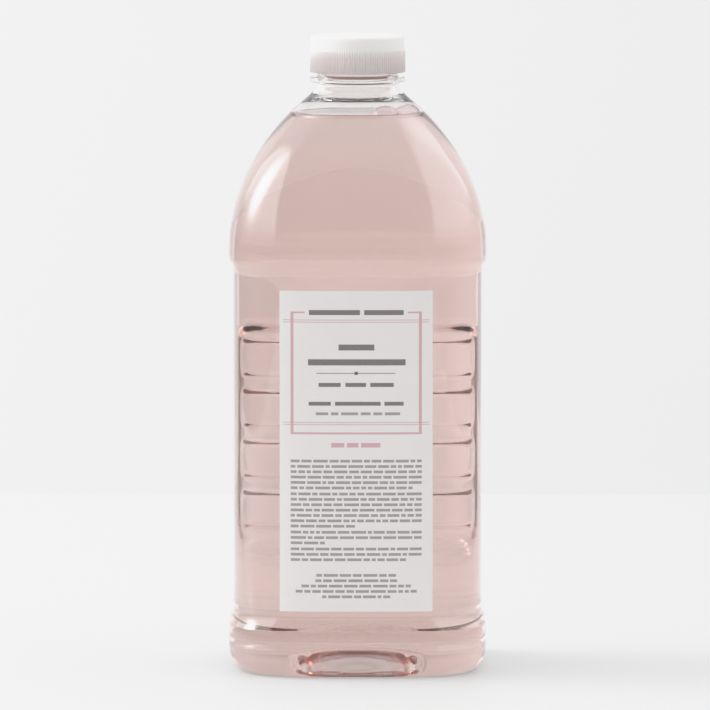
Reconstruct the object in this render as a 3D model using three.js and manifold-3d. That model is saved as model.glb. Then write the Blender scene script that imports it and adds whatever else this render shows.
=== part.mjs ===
// Hand soap refill pack: a blown clear bottle filled with pink soap, a front label and a ribbed screw cap.
// Millimetres, +Z up, the label faces -Y, the origin is the centre of the base on the surface it stands on.
import * as THREE from 'three';
import { mergeVertices } from 'three/addons/utils/BufferGeometryUtils.js';
import Module from 'manifold-3d';

const wasm = await Module();
wasm.setup();

// ---- driving dimensions ----
const TOTAL_HEIGHT = 272;

const BULGE_HALF_WIDTH = 55.5;
const PANEL_HALF_WIDTH = 53.4;
const DEPTH_RATIO = 0.908;
const BODY_POWER = 3.7;
const WALL = 0.6;
const NECK_WALL = 1.8;
const FIT_GAP = 0.3;

const FOOT_INNER = 43;
const FOOT_OUTER = 48.5;
const CORNER_HEIGHT = 10;
const PUSH_UP_RADIUS = 27.3;
const PUSH_UP_HEIGHT = 14;
const PUSH_UP_EDGE_HEIGHT = 2.5;
const FOOT_RISE = 1.5;

const PANEL_BOTTOM = 27;
const PANEL_TOP = 171;
const BASE_BULGE_TOP = 20;
const SHOULDER_BULGE_BOTTOM = 178;
const WAIST_TIGHT = 0.08;
const WAIST_FIRM = 0.25;
const WAIST_SOFT = 0.5;
const SHOULDER_START = 180;
const SHOULDER_FULLNESS = 28.5;
const SHOULDER_END = 244.1;
const SHOULDER_END_RADIUS = 23.4;
const SHOULDER_END_SLOPE = 1.19;
const SHOULDER_RUN_IN = 12.4;
const FLARE_RUN_IN = 2.7;
const FLARE_RUN_OUT = 1.9;
const FLARE_LEAN = 0.2;

const NECK_RADIUS = 17.4;
const NECK_FOOT = 251.4;
const RIM_HEIGHT = 267.2;
const RIM_ROUND = 0.5;
const RING_RADIUS = 20.4;
const RING_BOTTOM = 252.2;
const RING_TOP = 254.3;
const RING_ROUND = 0.4;
const FILL_HEIGHT = 239;
const THICK_FROM = 244.2;
const THICK_AT = 247.2;
const PLAN_TURN = 200;
const ROUND_FROM = 248.4;

const GRIP_ANGLE = 45;
const GRIP_REACH = 50;
const GRIP_STRETCH = 3;
const GRIP_HALF_WIDTH = 36;
const GRIP_DEPTH = 7;
const GRIP_ROUNDING = 10;
const GRIP_EDGE = 9;
const GRIP_MARGIN = 9;
const GRIP_RUN_OUT = 2;
const GRIP_BOTTOM = 55.4;
const PAD_COUNT = 4;
const PAD_ANGLE = 58;
const PAD_PITCH = 22.1;
const PAD_HEIGHT = 17.5;
const PAD_HALF_WIDTH = 12;
const PAD_ROUNDING = 6;
const PAD_EDGE = 2;
const PAD_RISE = 2.4;
const GRIP_TOP = GRIP_BOTTOM + (PAD_COUNT - 1) * PAD_PITCH + PAD_HEIGHT;

const THREAD_LEAD = 4.233;
const NECK_THREAD_RADIUS = 18.7;
const NECK_THREAD_START = 258.4;
const NECK_THREAD_START_TURN = 0.15;
const NECK_THREAD_TURNS = 1.5;
const NECK_THREAD_ROOT_WIDTH = 2.2;
const THREAD_CREST_WIDTH = 1;
const THREAD_BURIED = 0.5;
const THREAD_END_TURN = 0.12;
const THREAD_END_FULLNESS = 0.08;
const THREAD_STEPS_PER_TURN = 36;
const CAP_RADIUS = 20.15;
const CAP_BOTTOM = 256.3;
const CAP_ROUND = 1.3;
const CAP_BORE = 18.95;
const CAP_THREAD_RADIUS = 17.7;
const CAP_THREAD_START_TURN = 0.4;
const CAP_THREAD_TURNS = 1.25;
const CAP_THREAD_ROOT_WIDTH = 2;
const CAP_ROOF = 2.2;
const RIB_COUNT = 118;
const RIB_TOP = 265.8;
const RIB_CREST = 20.6;
const RIB_ROOT = 20.25;

const LINER_RADIUS = 18.3;
const LINER_THICKNESS = 2;

const LABEL_WIDTH = 65.2;
const LABEL_BOTTOM = 28.8;
const LABEL_TOP = 166.2;
const LABEL_THICKNESS = 0.3;

const BODY_SEGMENTS = 40;
const ROUND_SEGMENTS = 60;
const ON_AXIS = 1e-6;

const { degToRad, smoothstep, clamp } = THREE.MathUtils;

// ---- outlines: half width across X against height ----
const point = (radius, z) => new THREE.Vector2(radius, z);

const line = (from, to) => new THREE.LineCurve(from, to);

const sweep = (from, leave, arrive, to) => new THREE.CubicBezierCurve(from, leave, arrive, to);

const corner = (centreRadius, centreZ, radiusX, radiusZ, from, to) =>
  new THREE.EllipseCurve(centreRadius, centreZ, radiusX, radiusZ, degToRad(from), degToRad(to), to < from);

// Joins pieces of outline end to end, each cut into its own number of steps.
function trace(pieces) {
  const rest = pieces.flatMap(([curve, steps]) => curve.getPoints(steps).slice(1));
  return [pieces[0][0].getPoint(0), ...rest];
}

// An upright S between two half widths; the turn at either end is tighter the smaller its share.
function waist(from, to, leaveShare, arriveShare) {
  const height = to.y - from.y;
  const leave = point(from.x, from.y + leaveShare * height);
  const arrive = point(to.x, to.y - arriveShare * height);
  return sweep(from, leave, arrive, to);
}

function padBottoms() {
  return Array.from({ length: PAD_COUNT }, (_, index) => GRIP_BOTTOM + index * PAD_PITCH);
}

// The panel is straight, and is cut where the finger pads start, crest and end.
function panelLevels() {
  const pads = padBottoms().flatMap((z) => [
    z,
    z + PAD_EDGE,
    z + PAD_HEIGHT / 2,
    z + PAD_HEIGHT - PAD_EDGE,
    z + PAD_HEIGHT,
  ]);
  return [
    GRIP_BOTTOM - GRIP_RUN_OUT * GRIP_MARGIN,
    GRIP_BOTTOM - GRIP_RUN_OUT * GRIP_MARGIN / 2,
    ...pads,
    GRIP_TOP + GRIP_MARGIN / 2,
    GRIP_TOP + GRIP_MARGIN,
    PANEL_TOP,
  ];
}

// The outside of the base and body, from the middle of the push-up to the foot of the neck.
function bodyOutline() {
  const cornerWidth = BULGE_HALF_WIDTH - FOOT_OUTER;
  const pushUpEdge = point(PUSH_UP_RADIUS, PUSH_UP_EDGE_HEIGHT);
  const footEdge = point(FOOT_INNER - FOOT_RISE, FOOT_RISE);
  const baseBulgeTop = point(BULGE_HALF_WIDTH, BASE_BULGE_TOP);
  const panelBottom = point(PANEL_HALF_WIDTH, PANEL_BOTTOM);
  const panelTop = point(PANEL_HALF_WIDTH, PANEL_TOP);
  const shoulderBulgeBottom = point(BULGE_HALF_WIDTH, SHOULDER_BULGE_BOTTOM);
  const shoulderStart = point(BULGE_HALF_WIDTH, SHOULDER_START);
  const shoulderCrest = point(BULGE_HALF_WIDTH, SHOULDER_START + SHOULDER_FULLNESS);
  const alongSlope = (rise) => point(SHOULDER_END_RADIUS - SHOULDER_END_SLOPE * rise, SHOULDER_END + rise);
  const neckFoot = point(NECK_RADIUS, NECK_FOOT);
  const neckFlare = point(NECK_RADIUS + FLARE_LEAN, NECK_FOOT - FLARE_RUN_OUT);
  const lower = trace([
    [corner(0, PUSH_UP_EDGE_HEIGHT, PUSH_UP_RADIUS, PUSH_UP_HEIGHT - PUSH_UP_EDGE_HEIGHT, 90, 0), 4],
    [line(pushUpEdge, footEdge), 1],
    [line(footEdge, point(FOOT_INNER, 0)), 1],
    [line(point(FOOT_INNER, 0), point(FOOT_OUTER, 0)), 1],
    [corner(FOOT_OUTER, CORNER_HEIGHT, cornerWidth, CORNER_HEIGHT, -90, 0), 4],
    [line(point(BULGE_HALF_WIDTH, CORNER_HEIGHT), baseBulgeTop), 1],
    [waist(baseBulgeTop, panelBottom, WAIST_TIGHT, WAIST_SOFT), 4],
  ]);
  const panel = panelLevels().map((z) => point(PANEL_HALF_WIDTH, z));
  const upper = trace([
    [waist(panelTop, shoulderBulgeBottom, WAIST_SOFT, WAIST_FIRM), 3],
    [line(shoulderBulgeBottom, shoulderStart), 1],
    [sweep(shoulderStart, shoulderCrest, alongSlope(-SHOULDER_RUN_IN), alongSlope(0)), 9],
    [sweep(alongSlope(0), alongSlope(FLARE_RUN_IN), neckFlare, neckFoot), 3],
  ]);
  return [...lower, ...panel, ...upper.slice(1)];
}

// Moves every point of an outline inwards, square to the outline, by a thickness that depends on height.
function inset(outline, thickness) {
  return outline.map((here, index) => {
    const before = outline[Math.max(index - 1, 0)];
    const after = outline[Math.min(index + 1, outline.length - 1)];
    const along = after.clone().sub(before).normalize();
    const amount = thickness(here.y);
    if (here.x < ON_AXIS) return point(0, here.y + amount);
    return point(here.x - along.y * amount, here.y + along.x * amount);
  });
}

// Blown walls are thin in the body and thicken towards the moulded neck.
const wallAt = (z) => WALL + (NECK_WALL - WALL) * smoothstep(z, THICK_FROM, THICK_AT);

// The support ring, the plain neck and the rim, from the foot of the neck up to the axis.
function neckOutline() {
  const rimTop = RIM_HEIGHT - RIM_ROUND;
  return trace([
    [line(point(NECK_RADIUS, NECK_FOOT), point(NECK_RADIUS, RING_BOTTOM)), 1],
    [line(point(NECK_RADIUS, RING_BOTTOM), point(RING_RADIUS - RING_ROUND, RING_BOTTOM)), 1],
    [corner(RING_RADIUS - RING_ROUND, RING_BOTTOM + RING_ROUND, RING_ROUND, RING_ROUND, -90, 0), 1],
    [line(point(RING_RADIUS, RING_BOTTOM + RING_ROUND), point(RING_RADIUS, RING_TOP - RING_ROUND)), 1],
    [corner(RING_RADIUS - RING_ROUND, RING_TOP - RING_ROUND, RING_ROUND, RING_ROUND, 0, 90), 1],
    [line(point(RING_RADIUS - RING_ROUND, RING_TOP), point(NECK_RADIUS, RING_TOP)), 1],
    [line(point(NECK_RADIUS, RING_TOP), point(NECK_RADIUS, rimTop)), 1],
    [corner(NECK_RADIUS - RIM_ROUND, rimTop, RIM_ROUND, RIM_ROUND, 0, 90), 2],
    [line(point(NECK_RADIUS - RIM_ROUND, RIM_HEIGHT), point(0, RIM_HEIGHT)), 1],
  ]);
}

// The bore of the neck, from its foot out through the rim to the axis.
function boreOutline() {
  const bore = NECK_RADIUS - NECK_WALL;
  const outside = RIM_HEIGHT + 1;
  return [
    point(bore, RIM_HEIGHT - RIM_ROUND),
    point(bore + RIM_ROUND, RIM_HEIGHT),
    point(bore + RIM_ROUND, outside),
    point(0, outside),
  ];
}

// ---- the plan of the body ----

// The body is a rounded oblong in plan, and turns into a circle at the neck and at the middle of the base.
function planReach(angle, halfWidth, z) {
  const oblong = (1 - smoothstep(z, PLAN_TURN, ROUND_FROM)) * clamp(halfWidth / FOOT_INNER, 0, 1);
  const power = 2 + (BODY_POWER - 2) * oblong;
  const depth = 1 - (1 - DEPTH_RATIO) * oblong;
  const across = Math.abs(Math.cos(angle)) ** power;
  const along = (Math.abs(Math.sin(angle)) / depth) ** power;
  return halfWidth * (across + along) ** (-1 / power);
}

// One inside a rounded oblong and nothing outside it, with a soft slope along its edge.
function roundedPatch(across, up, halfWidth, halfHeight, rounding, edge) {
  const pastSide = Math.max(Math.abs(across) - halfWidth + rounding, 0);
  const pastEnd = Math.max(Math.abs(up) - halfHeight + rounding, 0);
  return smoothstep(rounding - Math.hypot(pastSide, pastEnd), 0, edge);
}

// How far the finger grips at both back corners are pressed in, with a row of raised pads in each.
// The hollow falls off gently round the corner and at its bottom, and more steeply at its top.
function gripDepth(angle, z) {
  const behindSide = Math.atan2(Math.sin(angle), Math.abs(Math.cos(angle)));
  const fromCorner = (behindSide - degToRad(GRIP_ANGLE)) * GRIP_REACH;
  const fromPad = (behindSide - degToRad(PAD_ANGLE)) * GRIP_REACH;
  const halfHeight = (GRIP_TOP - GRIP_BOTTOM) / 2;
  const fromBottom = z < GRIP_BOTTOM ? (z - GRIP_BOTTOM) / GRIP_RUN_OUT : z - GRIP_BOTTOM;
  const hollow = roundedPatch(
    fromCorner / GRIP_STRETCH,
    fromBottom - halfHeight,
    GRIP_HALF_WIDTH / GRIP_STRETCH,
    halfHeight + GRIP_MARGIN,
    GRIP_ROUNDING,
    GRIP_EDGE,
  );
  const pads = padBottoms().map((bottom) => {
    const up = z - bottom - PAD_HEIGHT / 2;
    return roundedPatch(fromPad, up, PAD_HALF_WIDTH, PAD_HEIGHT / 2, PAD_ROUNDING, PAD_EDGE);
  });
  return GRIP_DEPTH * hollow - PAD_RISE * Math.max(...pads);
}

// Turns an outline round the Z axis, with its faces pointing out.
function turned(outline, segments) {
  return new THREE.LatheGeometry(outline, segments).rotateX(Math.PI / 2);
}

// Gives a round body the bottle's plan and grips.
function shapedBody(outline) {
  const geometry = turned(outline, BODY_SEGMENTS);
  const position = geometry.attributes.position;
  const place = new THREE.Vector3();
  for (let index = 0; index < position.count; index += 1) {
    place.fromBufferAttribute(position, index);
    const halfWidth = Math.hypot(place.x, place.y);
    const angle = Math.atan2(place.y, place.x);
    if (halfWidth < ON_AXIS) continue;
    const reach = planReach(angle, halfWidth, place.z) - gripDepth(angle, place.z);
    position.setXYZ(index, reach * Math.cos(angle), reach * Math.sin(angle), place.z);
  }
  return geometry;
}

// ---- solids ----

// A closed geometry with shared corners merged and triangles without area left out.
function welded(geometry) {
  const bare = geometry.clone();
  bare.deleteAttribute('normal');
  bare.deleteAttribute('uv');
  const merged = mergeVertices(bare);
  const corners = Array.from(merged.index.array);
  const kept = [];
  for (let index = 0; index < corners.length; index += 3) {
    const [a, b, c] = corners.slice(index, index + 3);
    if (a !== b && b !== c && c !== a) kept.push(a, b, c);
  }
  merged.setIndex(kept);
  return merged;
}

function solidOf(geometry) {
  const { index, attributes } = welded(geometry);
  const mesh = new wasm.Mesh({
    numProp: 3,
    vertProperties: new Float32Array(attributes.position.array),
    triVerts: new Uint32Array(index.array),
  });
  return new wasm.Manifold(mesh);
}

function geometryOf(solid) {
  const { vertProperties, triVerts } = solid.getMesh();
  const geometry = new THREE.BufferGeometry();
  geometry.setAttribute('position', new THREE.BufferAttribute(vertProperties, 3));
  geometry.setIndex(Array.from(triVerts));
  geometry.computeVertexNormals();
  return geometry;
}

// A right-hand thread ridge of one lead, thinned out at both ends.
// Its root is buried in the wall that carries it.
function threadRidge({ root, crest, rootWidth, startZ, startTurn, turns }) {
  const buried = root - Math.sign(crest - root) * THREAD_BURIED;
  const section = new THREE.Shape([
    point(-rootWidth / 2, buried),
    point(rootWidth / 2, buried),
    point(THREAD_CREST_WIDTH / 2, crest),
    point(-THREAD_CREST_WIDTH / 2, crest),
  ]);
  const steps = Math.round(turns * THREAD_STEPS_PER_TURN);
  const geometry = new THREE.ExtrudeGeometry(section, { depth: turns, steps, bevelEnabled: false });
  const position = geometry.attributes.position;
  for (let index = 0; index < position.count; index += 1) {
    const turn = position.getZ(index);
    const fullness = clamp(Math.min(turn, turns - turn) / THREAD_END_TURN, THREAD_END_FULLNESS, 1);
    const radius = buried + (position.getY(index) - buried) * fullness;
    const angle = (startTurn + turn) * 2 * Math.PI;
    const z = startZ + turn * THREAD_LEAD + position.getX(index) * fullness;
    position.setXYZ(index, radius * Math.cos(angle), radius * Math.sin(angle), z);
  }
  return geometry;
}

function bottleGeometry() {
  const body = bodyOutline();
  const filled = shapedBody([...body, ...neckOutline().slice(1)]);
  const cavity = shapedBody([...inset(body, wallAt), ...boreOutline()]);
  const ridge = threadRidge({
    root: NECK_RADIUS,
    crest: NECK_THREAD_RADIUS,
    rootWidth: NECK_THREAD_ROOT_WIDTH,
    startZ: NECK_THREAD_START,
    startTurn: NECK_THREAD_START_TURN,
    turns: NECK_THREAD_TURNS,
  });
  return geometryOf(solidOf(filled).subtract(solidOf(cavity)).add(solidOf(ridge)));
}

// The soap fills the bottle to the fill height, where its surface is level.
function soapGeometry() {
  const wetted = inset(bodyOutline(), (z) => wallAt(z) + FIT_GAP);
  const first = wetted.findIndex((here) => here.y >= FILL_HEIGHT);
  const below = wetted[first - 1];
  const above = wetted[first];
  const edge = below.clone().lerp(above, (FILL_HEIGHT - below.y) / (above.y - below.y));
  return shapedBody([...wetted.slice(0, first), edge, point(0, FILL_HEIGHT)]);
}

// The label is a sheet that follows the gentle crown of the front panel.
function labelGeometry() {
  const height = LABEL_TOP - LABEL_BOTTOM;
  const geometry = new THREE.BoxGeometry(LABEL_WIDTH, LABEL_THICKNESS, height, 16, 1, 1);
  const position = geometry.attributes.position;
  const halfDepth = PANEL_HALF_WIDTH * DEPTH_RATIO;
  for (let index = 0; index < position.count; index += 1) {
    const x = position.getX(index);
    const crown = halfDepth * (1 - (Math.abs(x) / PANEL_HALF_WIDTH) ** BODY_POWER) ** (1 / BODY_POWER);
    const proud = FIT_GAP + LABEL_THICKNESS / 2;
    position.setY(index, position.getY(index) - crown - proud);
  }
  return geometry.translate(0, 0, LABEL_BOTTOM + height / 2);
}

// The grip ring of the cap: a toothed outline with a plain hole, standing upright.
function ribbedRing() {
  const outline = new THREE.Shape(
    Array.from({ length: RIB_COUNT * 2 }, (_, index) => {
      const angle = (index * Math.PI) / RIB_COUNT;
      const radius = index % 2 === 0 ? RIB_CREST : RIB_ROOT;
      return point(radius * Math.cos(angle), radius * Math.sin(angle));
    }),
  );
  const hole = new THREE.Path().absarc(0, 0, (CAP_BORE + CAP_RADIUS) / 2, 0, 2 * Math.PI, true);
  outline.holes.push(hole);
  const depth = RIB_TOP - CAP_BOTTOM;
  return new THREE.ExtrudeGeometry(outline, { depth, bevelEnabled: false, curveSegments: ROUND_SEGMENTS })
    .translate(0, 0, CAP_BOTTOM);
}

function capGeometry() {
  const roofInside = TOTAL_HEIGHT - CAP_ROOF;
  const shell = turned(
    trace([
      [line(point(0, roofInside), point(CAP_BORE, roofInside)), 1],
      [line(point(CAP_BORE, roofInside), point(CAP_BORE, CAP_BOTTOM)), 1],
      [line(point(CAP_BORE, CAP_BOTTOM), point(CAP_RADIUS, CAP_BOTTOM)), 1],
      [line(point(CAP_RADIUS, CAP_BOTTOM), point(CAP_RADIUS, TOTAL_HEIGHT - CAP_ROUND)), 1],
      [corner(CAP_RADIUS - CAP_ROUND, TOTAL_HEIGHT - CAP_ROUND, CAP_ROUND, CAP_ROUND, 0, 90), 4],
      [line(point(CAP_RADIUS - CAP_ROUND, TOTAL_HEIGHT), point(0, TOTAL_HEIGHT)), 1],
    ]),
    ROUND_SEGMENTS,
  );
  const ridge = threadRidge({
    root: CAP_BORE,
    crest: CAP_THREAD_RADIUS,
    rootWidth: CAP_THREAD_ROOT_WIDTH,
    startZ: NECK_THREAD_START - THREAD_LEAD / 4,
    startTurn: CAP_THREAD_START_TURN,
    turns: CAP_THREAD_TURNS,
  });
  return geometryOf(solidOf(shell).add(solidOf(ribbedRing())).add(solidOf(ridge)));
}

function linerGeometry() {
  const top = TOTAL_HEIGHT - CAP_ROOF - FIT_GAP;
  const bottom = top - LINER_THICKNESS;
  return turned(
    [point(0, bottom), point(LINER_RADIUS, bottom), point(LINER_RADIUS, top), point(0, top)],
    ROUND_SEGMENTS,
  );
}

// ---- materials ----
const clearPet = new THREE.MeshStandardMaterial({
  color: 0xe6eaea,
  roughness: 0.05,
  metalness: 0,
  transparent: true,
  opacity: 0.4,
});
const pinkSoap = new THREE.MeshStandardMaterial({ color: 0xe0b4ae, roughness: 0.1, metalness: 0 });
const labelPaper = new THREE.MeshStandardMaterial({ color: 0xece8e5, roughness: 0.6, metalness: 0 });
const milkyPlastic = new THREE.MeshStandardMaterial({ color: 0xeeebe9, roughness: 0.35, metalness: 0 });
const whiteFoam = new THREE.MeshStandardMaterial({ color: 0xf4f3f0, roughness: 0.9, metalness: 0 });

// ---- assembly ----
function piece(name, geometry, material) {
  const mesh = new THREE.Mesh(geometry, material);
  mesh.name = name;
  return mesh;
}

const pack = new THREE.Group();
pack.add(
  piece('bottle', bottleGeometry(), clearPet),
  piece('soap', soapGeometry(), pinkSoap),
  piece('front_label', labelGeometry(), labelPaper),
  piece('cap', capGeometry(), milkyPlastic),
  piece('cap_liner', linerGeometry(), whiteFoam),
);

export default pack;
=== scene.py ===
"""Hand soap refill pack: clear blown bottle of pink soap, printed label, ribbed milky screw cap."""

import math
import random

import bpy
import numpy as np
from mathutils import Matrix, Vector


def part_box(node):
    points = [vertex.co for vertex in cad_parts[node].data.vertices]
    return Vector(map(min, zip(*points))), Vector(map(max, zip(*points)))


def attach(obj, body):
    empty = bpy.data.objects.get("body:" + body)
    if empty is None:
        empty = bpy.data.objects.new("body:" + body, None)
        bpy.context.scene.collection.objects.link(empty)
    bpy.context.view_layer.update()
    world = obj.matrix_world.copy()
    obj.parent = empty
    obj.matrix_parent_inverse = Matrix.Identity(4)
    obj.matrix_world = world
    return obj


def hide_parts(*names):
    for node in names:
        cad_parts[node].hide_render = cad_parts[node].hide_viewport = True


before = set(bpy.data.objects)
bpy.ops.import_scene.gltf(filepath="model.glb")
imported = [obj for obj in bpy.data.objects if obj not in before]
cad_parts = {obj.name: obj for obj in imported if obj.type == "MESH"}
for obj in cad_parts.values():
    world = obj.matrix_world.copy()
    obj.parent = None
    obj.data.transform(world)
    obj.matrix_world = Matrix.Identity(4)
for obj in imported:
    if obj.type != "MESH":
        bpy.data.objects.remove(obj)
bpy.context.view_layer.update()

MM = 0.001

# ---- the frame's own sizes ----
bottle_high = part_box("bottle")[1]
soap_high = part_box("soap")[1]
label_low, label_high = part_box("front_label")
cap_low, cap_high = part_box("cap")
liner_low, liner_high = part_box("cap_liner")

HALF_WIDTH = bottle_high.x
DEPTH_RATIO = bottle_high.y / bottle_high.x
RIM = bottle_high.z
FILL = soap_high.z

# ---- the bottle's form: the CAD's, with softer finger pads and a softer start of the neck's wall ----
PANEL_HALF_WIDTH = HALF_WIDTH - 2.1 * MM
BODY_POWER = 3.7
WALL = 0.6 * MM
NECK_WALL = 1.8 * MM
FOOT_INNER = 43 * MM
FOOT_OUTER = 48.5 * MM
FOOT_RISE = 1.5 * MM
CORNER_HEIGHT = 10 * MM
PUSH_UP_RADIUS = 27.3 * MM
PUSH_UP_HEIGHT = 14 * MM
PUSH_UP_EDGE_HEIGHT = 2.5 * MM
PANEL_BOTTOM = 27 * MM
PANEL_TOP = 171 * MM
BASE_BULGE_TOP = 20 * MM
SHOULDER_BULGE_BOTTOM = 178 * MM
SHOULDER_START = 180 * MM
SHOULDER_FULLNESS = 28.5 * MM
SHOULDER_END = 244.1 * MM
SHOULDER_END_RADIUS = 23.4 * MM
SHOULDER_END_SLOPE = 1.19
SHOULDER_RUN_IN = 12.4 * MM
FLARE_RUN_IN = 2.7 * MM
FLARE_RUN_OUT = 1.9 * MM
FLARE_LEAN = 0.2 * MM
WAIST_TIGHT = 0.08
WAIST_FIRM = 0.25
WAIST_SOFT = 0.5
PLAN_TURN = 200 * MM
ROUND_FROM = 248.4 * MM
THICK_FROM = 243.9 * MM
THICK_AT = 247.9 * MM
NECK_RADIUS = 17.4 * MM
NECK_FOOT = 251.4 * MM
RIM_ROUND = 0.5 * MM
THREAD_BAND_BOTTOM = 257 * MM
THREAD_BAND_TOP = 266.3 * MM
RING_RADIUS = 20.4 * MM
RING_BOTTOM = 252.2 * MM
RING_TOP = 254.3 * MM
RING_ROUND = 0.4 * MM

GRIP_ANGLE = math.radians(45)
GRIP_REACH = 50 * MM
GRIP_STRETCH = 3
GRIP_HALF_WIDTH = 36 * MM
GRIP_DEPTH = 7 * MM
GRIP_ROUNDING = 10 * MM
GRIP_EDGE = 9 * MM
GRIP_MARGIN = 9 * MM
GRIP_RUN_OUT = 2
GRIP_BOTTOM = 55.4 * MM
PAD_COUNT = 4
PAD_ANGLE = math.radians(58)
PAD_PITCH = 22.1 * MM
PAD_HEIGHT = 17.5 * MM
PAD_HALF_WIDTH = 12 * MM
PAD_ROUNDING = 6 * MM
PAD_EDGE = 2.6 * MM
PAD_RISE = 2.2 * MM

THREAD_LEAD = 4.233 * MM
THREAD_CREST_WIDTH = 1 * MM
THREAD_RUN_OUT = 0.12
NECK_THREAD_START = 258.4 * MM
NECK_THREAD_START_TURN = 0.15
NECK_THREAD_TURNS = 1.5
NECK_THREAD_ROOT_WIDTH = 2.2 * MM
NECK_THREAD_HEIGHT = 1.3 * MM
CAP_THREAD_START = NECK_THREAD_START - THREAD_LEAD / 4
CAP_THREAD_START_TURN = 0.4
CAP_THREAD_TURNS = 1.25
CAP_THREAD_ROOT_WIDTH = 2 * MM
CAP_THREAD_HEIGHT = 1.25 * MM

CAP_BORE = 18.95 * MM
CAP_ROOF = 2.2 * MM
CAP_TOP_ROUND = 1.3 * MM
CAP_ROOF_FILLET = 0.6 * MM
CAP_MOUTH_BEVEL = 0.3 * MM
CAP_MOUTH_BEVEL_HEIGHT = 0.5 * MM
CAP_FOOT_BEVEL = 0.2 * MM
CAP_CLEARANCE = 0.05 * MM
RIB_COUNT = 118
RIB_SEGMENTS = 8
RIB_TOP = 265.8 * MM
RIB_DEPTH = 0.4 * MM
RIB_SHARPNESS = 1.5
RIB_BAND = 0.3 * MM
LINER_EDGE = 0.25 * MM

BODY_SEGMENTS = 192
SOAP_SEGMENTS = 240
LINER_SEGMENTS = 96
BUBBLE_SEGMENTS = 40

WETTED_SHARE = 0.5
MENISCUS_CLIMB = 0.8 * MM
MENISCUS_WIDTH = 3.5 * MM

# each bubble: its place across, its place in depth and its radius, in millimetres
BUBBLES = ((11.8, -14.5, 5.6), (21, -8, 5.6), (17.6, -16.6, 1.6), (19.8, -15.4, 1.0), (16.8, -19.2, 0.8))
BUBBLE_FILM = 0.35 * MM
BUBBLE_DIP = -0.8 * MM
BUBBLE_FLATNESS = 0.8
BUBBLE_FOOT_ANGLE = -30
WATERLINE_RADIUS = 0.3 * MM
WATERLINE_START = 185
WATERLINE_END = 355
WATERLINE_STEPS = 120
WATERLINE_SIDES = 10
WATERLINE_OVERLAP = 0.7
WATERLINE_TAPER = 3

LABEL_THICKNESS = 0.12 * MM
LABEL_SHIFT = -0.6 * MM
LABEL_BEDDED = 0.1 * MM
LABEL_STEPS = 61
INK = 0.02 * MM

# ---- the print's layout, in plain millimetres ----
FRAME_HALF_WIDTH = 27.9
FRAME_LINE = 1.2
FRAME_LOW = 104.9
FRAME_HIGH = 157.3
FRAME_STUB = 6
FRAME_TOP_LINE = 0.7
FRAME_BOTTOM_LINE = 0.8
HAIRLINE = 0.28
HAIRLINE_GAP = 0.9
HAIRLINE_HALF_WIDTH = 31
HAIRLINE_BELOW_TOP = 4
HAIRLINE_ABOVE_BOTTOM = 4.6

PRINT_HALF_WIDTH = 27.9
PRINT_PITCH = 2.3
PRINT_MARK_LOW = 1.35
PRINT_MARK_HIGH = 0.2
PRINT_TOP = 94.2
PRINT_PARAGRAPH_GAP = 0.3
# paragraphs of small print: how many rows, and how much of its width the last row fills
PRINT_PARAGRAPHS = ((6, 0.93), (7, 0.49), (3, 0.26), (3, 0.88))
CLOSING_TOP = 45.2
CLOSING_HALF_WIDTHS = (17, 17.4, 23.3, 25.8, 14.5)

# rows of large marks: bottom, top and the left and right of each mark
HEADLINE_ROWS = (
    (155.9, 158, ((-20.1, 1.6), (3.4, 20.2))),
    (140.8, 143.3, ((-7.5, 7.7),)),
    (134.4, 137, ((-20.5, 21),)),
    (130.85, 131.15, ((-16.9, 16.7),)),
    (130.3, 131.7, ((-0.7, 0.7),)),
    (125.2, 126.9, ((-16, -6.6), (-4.6, 4.2), (6, 16))),
    (117.2, 118.8, ((-20.2, -10.8), (-9, 10.4), (12, 20.2))),
)

# rows of uneven marks: left, right, bottom and top
LIGHT_ROW = (-17.2, 18.7, 113.1, 114.3)
PINK_ROW = (-10.6, 10.3, 99.3, 101.2)

# the marks of such a row: the shortest, the longest and the space between them
SMALL_WORD = (1.6, 6.5, 0.75)
MEDIUM_WORD = (3, 7, 1.2)
LARGE_WORD = (3, 8, 1.2)

dice = random.Random(11)


# ---- outlines, as arrays of (half width, height) ----
def line(start, end, steps=1):
    share = np.linspace(0, 1, steps + 1)[:, None]
    return np.array(start) * (1 - share) + np.array(end) * share


def sweep(start, leave, arrive, end, steps):
    """A smooth bend that sets out towards one point and arrives from another."""
    t = np.linspace(0, 1, steps + 1)[:, None]
    s = 1 - t
    points = [np.array(p) for p in (start, leave, arrive, end)]
    first, second = s**3 * points[0], 3 * s * s * t * points[1]
    third, fourth = 3 * s * t * t * points[2], t**3 * points[3]
    return first + second + third + fourth


def arc(centre, radii, start, end, steps):
    angles = np.radians(np.linspace(start, end, steps + 1))
    return np.stack([centre[0] + radii[0] * np.cos(angles), centre[1] + radii[1] * np.sin(angles)], axis=1)


def trace(*pieces):
    """Pieces of outline end to end, without the doubled joints."""
    return np.concatenate([pieces[0]] + [piece[1:] for piece in pieces[1:]])


def smoothstep(value, low, high):
    t = np.clip((value - low) / (high - low), 0, 1)
    return t * t * (3 - 2 * t)


def waist(start, end, leave, arrive, steps):
    """An upright S between two half widths; the turn at either end is tighter the smaller its share."""
    height = end[1] - start[1]
    over_start, under_end = start[1] + leave * height, end[1] - arrive * height
    return sweep(start, (start[0], over_start), (end[0], under_end), end, steps)


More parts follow.
